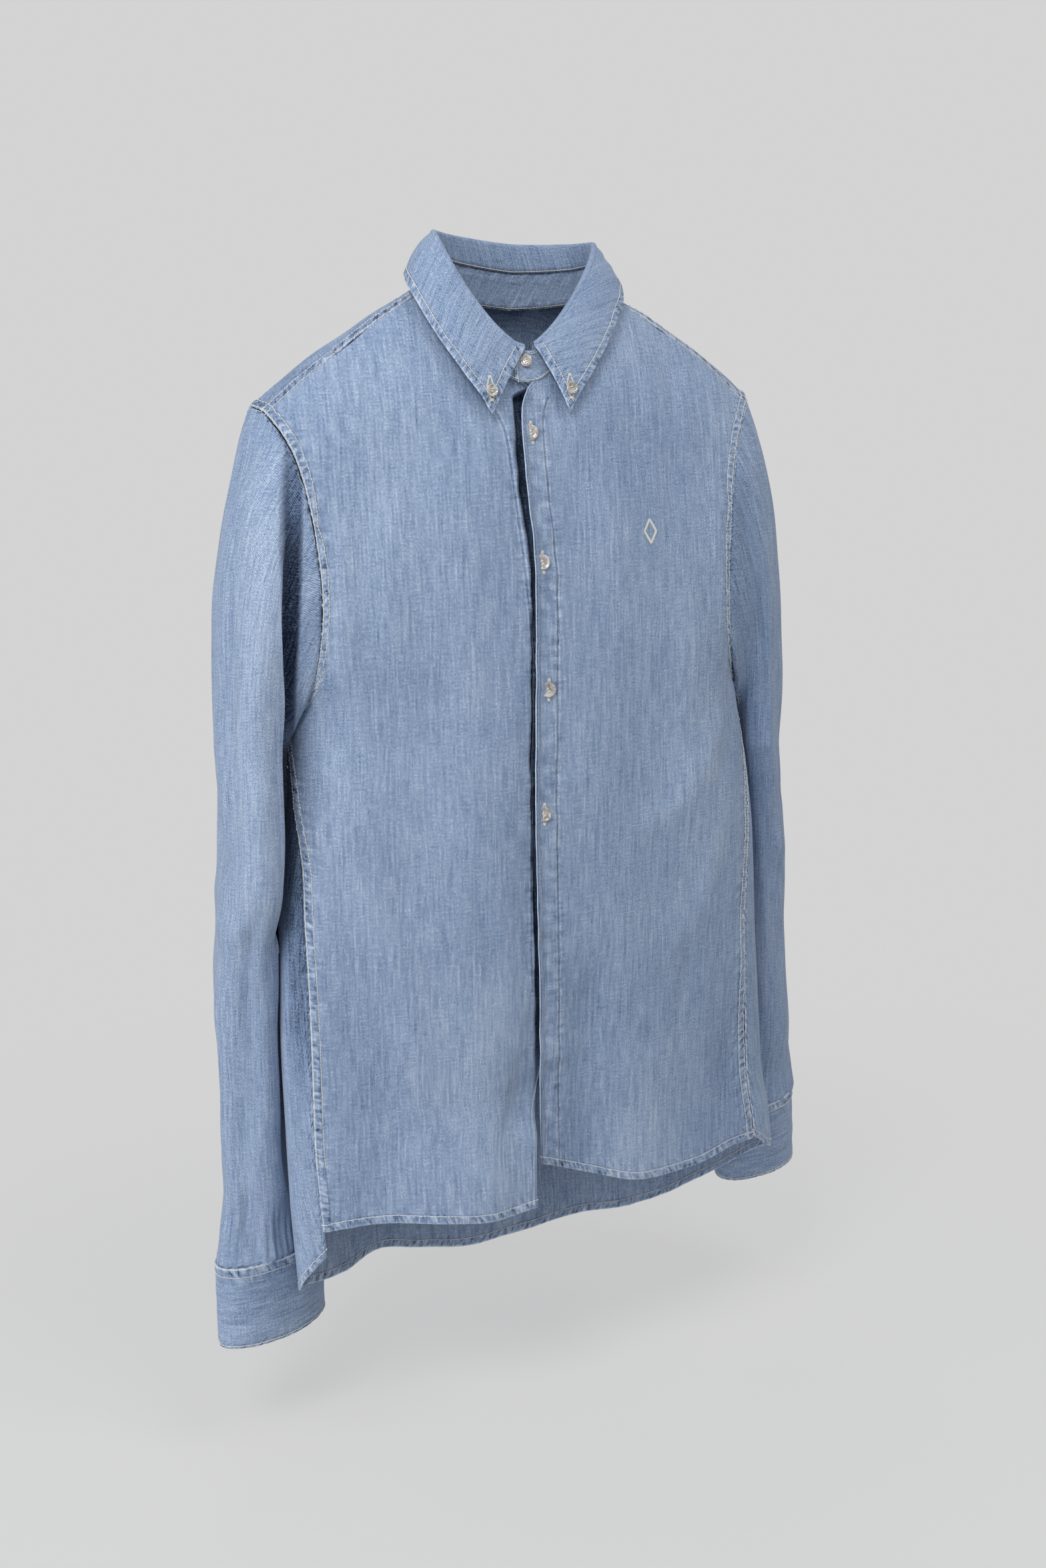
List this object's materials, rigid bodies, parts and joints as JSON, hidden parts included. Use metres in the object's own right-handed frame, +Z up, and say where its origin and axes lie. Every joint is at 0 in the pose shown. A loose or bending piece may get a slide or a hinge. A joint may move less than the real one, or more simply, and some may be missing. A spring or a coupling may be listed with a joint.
{
  "type": "chambray shirt",
  "caption": "Long-sleeved chambray shirt with a buttoned-down collar, back yoke, curved hems and buttoned cuffs, filled out as if worn, with no wearer.",
  "frame": {"origin": "middle of the neck opening, level with the top of the shoulders beside the collar", "axes": "+X toward the wearer's left, +Y toward the back, +Z up; the front faces -Y"},
  "size_m": [0.5408, 0.1934, 0.808],
  "materials": {
    "cloth": "matt washed plain-weave cotton",
    "pearl": "polished"
  },
  "bodies": {
    "root": {"back": "cloth", "yoke": "cloth", "front_right": "cloth", "front_left": "cloth", "collar_stand": "cloth", "collar_leaf": "cloth", "sleeve_right": "cloth", "sleeve_left": "cloth", "sleeve_placket_right": "cloth", "sleeve_placket_left": "cloth", "cuff_right": "cloth", "cuff_left": "cloth", "button_neck": "pearl", "button_front_1": "pearl", "button_front_2": "pearl", "button_front_3": "pearl", "button_front_4": "pearl", "button_front_5": "pearl", "button_collar_right": "pearl", "button_collar_left": "pearl", "button_cuff_right": "pearl", "button_cuff_left": "pearl"}
  },
  "joints": []
}
